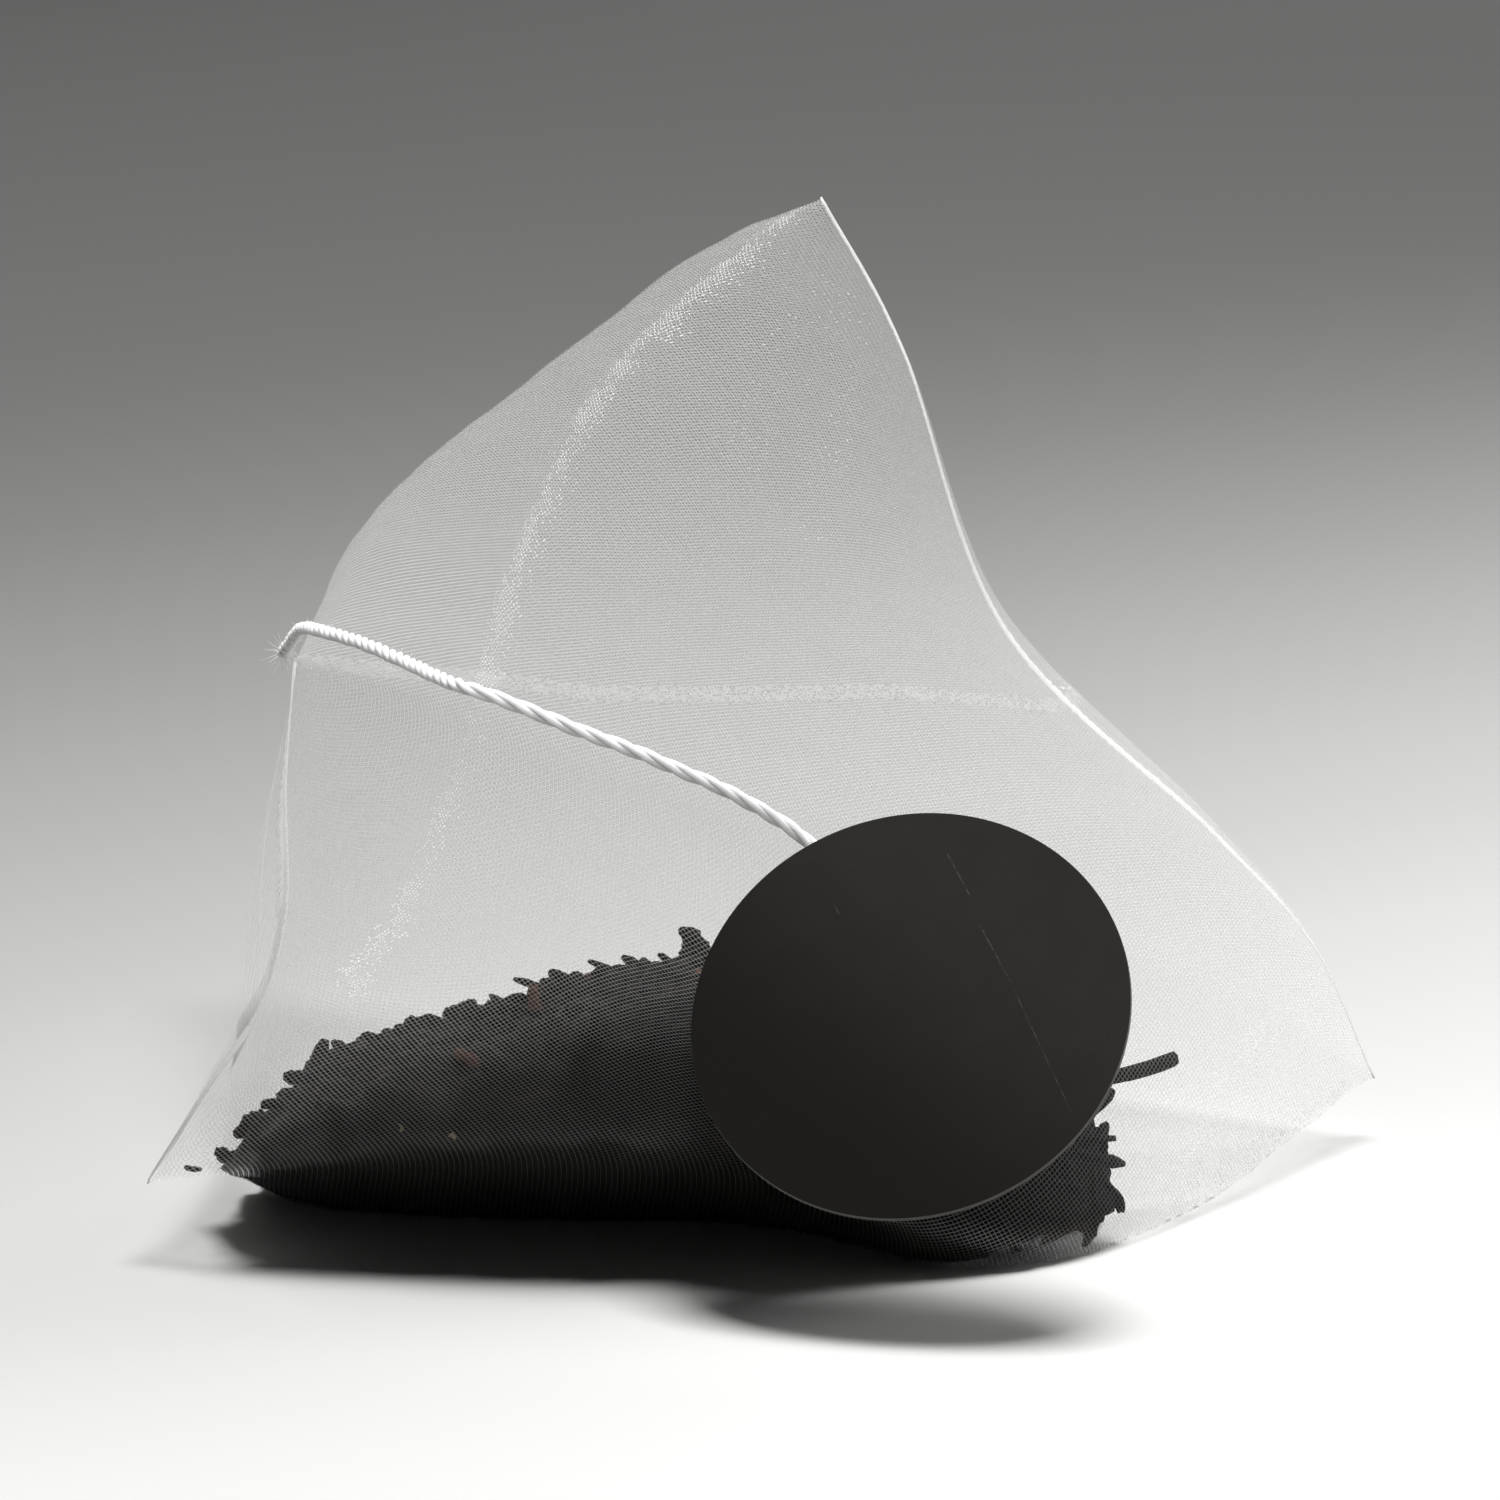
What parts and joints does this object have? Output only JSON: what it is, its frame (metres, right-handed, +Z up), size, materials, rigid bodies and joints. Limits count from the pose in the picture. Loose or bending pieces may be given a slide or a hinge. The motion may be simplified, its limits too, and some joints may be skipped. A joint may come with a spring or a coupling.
{
  "type": "pyramid tea bag",
  "caption": "Pyramid tea bag of translucent woven nylon mesh, slumped on its heap of loose black tea, with a cotton string running to a plain round black paper tag.",
  "frame": {"origin": "on the floor, at the middle of the bag's bounding box", "axes": "+Z up, +X along the front of the bag towards its right corner, +Y from the tag's side to the back"},
  "size_m": [0.0724, 0.0798, 0.0598],
  "materials": {
    "nylon_mesh": "fine translucent woven nylon",
    "black_tea": "dry rolled black tea leaves",
    "cotton_string": "twisted white cotton",
    "black_paper": "matte charcoal black paper"
  },
  "bodies": {
    "root": {"mesh_bag": "nylon_mesh", "tea_heap": "black_tea", "tea_leaf_01": "black_tea", "tea_leaf_02": "black_tea", "tea_leaf_03": "black_tea", "tea_leaf_04": "black_tea", "tea_leaf_05": "black_tea", "tea_leaf_06": "black_tea", "tea_leaf_07": "black_tea", "tea_leaf_08": "black_tea", "tea_leaf_09": "black_tea", "tea_leaf_10": "black_tea", "tea_leaf_11": "black_tea", "tea_leaf_12": "black_tea", "tea_leaf_13": "black_tea", "tea_leaf_14": "black_tea", "tea_leaf_15": "black_tea", "tea_leaf_16": "black_tea", "tea_leaf_17": "black_tea", "tea_leaf_18": "black_tea", "tea_leaf_19": "black_tea", "tea_leaf_20": "black_tea", "tea_leaf_21": "black_tea", "tea_leaf_22": "black_tea", "tea_leaf_23": "black_tea", "tea_leaf_24": "black_tea", "tea_leaf_25": "black_tea", "tea_leaf_26": "black_tea", "tea_leaf_27": "black_tea", "tea_leaf_28": "black_tea", "tea_leaf_29": "black_tea", "tea_leaf_30": "black_tea", "tea_leaf_31": "black_tea", "tea_leaf_32": "black_tea", "tea_leaf_33": "black_tea", "tea_leaf_34": "black_tea", "tea_leaf_35": "black_tea", "tea_leaf_36": "black_tea", "string": "cotton_string", "string_coil": "cotton_string", "tag": "black_paper"}
  },
  "joints": []
}
